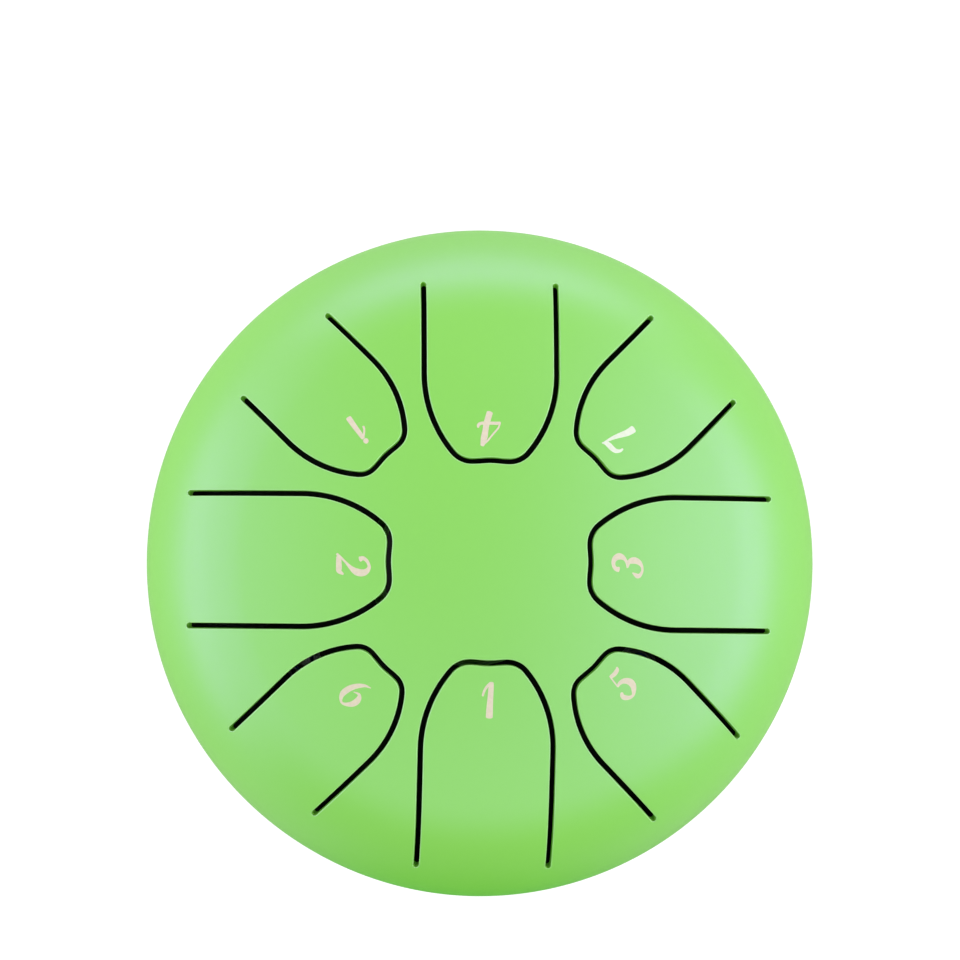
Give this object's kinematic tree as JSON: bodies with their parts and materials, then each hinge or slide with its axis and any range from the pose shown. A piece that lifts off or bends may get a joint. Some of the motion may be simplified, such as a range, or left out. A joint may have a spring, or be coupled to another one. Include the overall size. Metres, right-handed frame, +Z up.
{
  "type": "steel tongue drum",
  "caption": "Round steel drum with a domed top whose slotted tongues ring when struck, a domed base with a sound hole, and rubber feet.",
  "frame": {"origin": "bottom centre: the middle of the drum, on the surface that its feet stand on", "axes": "+Z up; -Y towards the player and the low tongue of note 1; +X to the player's right"},
  "size_m": [0.155, 0.155, 0.088],
  "materials": {
    "green_paint": "satin light green paint",
    "adhesive": "painted-over sealing bead",
    "foot_rubber": "matt black rubber",
    "zinc_steel": "bright zinc plating"
  },
  "bodies": {
    "drum": {"top_shell": "green_paint", "bottom_shell": "green_paint", "seam_adhesive": "adhesive", "foot_back": "foot_rubber", "foot_left": "foot_rubber", "foot_right": "foot_rubber", "foot_inserts": "zinc_steel", "foot_screws": "zinc_steel", "foot_washers": "zinc_steel", "foot_nuts": "zinc_steel"},
    "tongue_1_low": {"tongue_1_low": "green_paint"},
    "tongue_2": {"tongue_2": "green_paint"},
    "tongue_3": {"tongue_3": "green_paint"},
    "tongue_4": {"tongue_4": "green_paint"},
    "tongue_5": {"tongue_5": "green_paint"},
    "tongue_6": {"tongue_6": "green_paint"},
    "tongue_7": {"tongue_7": "green_paint"},
    "tongue_1_high": {"tongue_1_high": "green_paint"}
  },
  "joints": [
    {"name": "tongue_1_low_flex", "type": "hinge", "parent": "drum", "child": "tongue_1_low", "pos_m": [0, -0.0698, 0.06863], "axis": [-1, 0, 0], "range_deg": [-0.6, 0.6], "stiffness_Nm_per_rad": 1, "springref_deg": -0.19},
    {"name": "tongue_2_flex", "type": "hinge", "parent": "drum", "child": "tongue_2", "pos_m": [-0.0681, 0, 0.07064], "axis": [0, 1, 0], "range_deg": [-0.6, 0.6], "stiffness_Nm_per_rad": 1, "springref_deg": -0.17},
    {"name": "tongue_3_flex", "type": "hinge", "parent": "drum", "child": "tongue_3", "pos_m": [0.065, 0, 0.07352], "axis": [0, -1, 0], "range_deg": [-0.6, 0.6], "stiffness_Nm_per_rad": 1, "springref_deg": -0.15},
    {"name": "tongue_4_flex", "type": "hinge", "parent": "drum", "child": "tongue_4", "pos_m": [0, 0.0637, 0.0745], "axis": [1, 0, 0], "range_deg": [-0.6, 0.6], "stiffness_Nm_per_rad": 1, "springref_deg": -0.14},
    {"name": "tongue_5_flex", "type": "hinge", "parent": "drum", "child": "tongue_5", "pos_m": [0.04907, -0.04907, 0.06937], "axis": [-0.7071, -0.7071, 0], "range_deg": [-0.6, 0.6], "stiffness_Nm_per_rad": 1, "springref_deg": -0.1},
    {"name": "tongue_6_flex", "type": "hinge", "parent": "drum", "child": "tongue_6", "pos_m": [-0.04844, -0.04844, 0.07041], "axis": [-0.7071, 0.7071, 0], "range_deg": [-0.6, 0.6], "stiffness_Nm_per_rad": 1, "springref_deg": -0.09},
    {"name": "tongue_7_flex", "type": "hinge", "parent": "drum", "child": "tongue_7", "pos_m": [0.04709, 0.04709, 0.07231], "axis": [0.7071, -0.7071, 0], "range_deg": [-0.6, 0.6], "stiffness_Nm_per_rad": 1, "springref_deg": -0.08},
    {"name": "tongue_1_high_flex", "type": "hinge", "parent": "drum", "child": "tongue_1_high", "pos_m": [-0.04667, 0.04667, 0.07284], "axis": [0.7071, 0.7071, 0], "range_deg": [-0.6, 0.6], "stiffness_Nm_per_rad": 1, "springref_deg": -0.08}
  ]
}
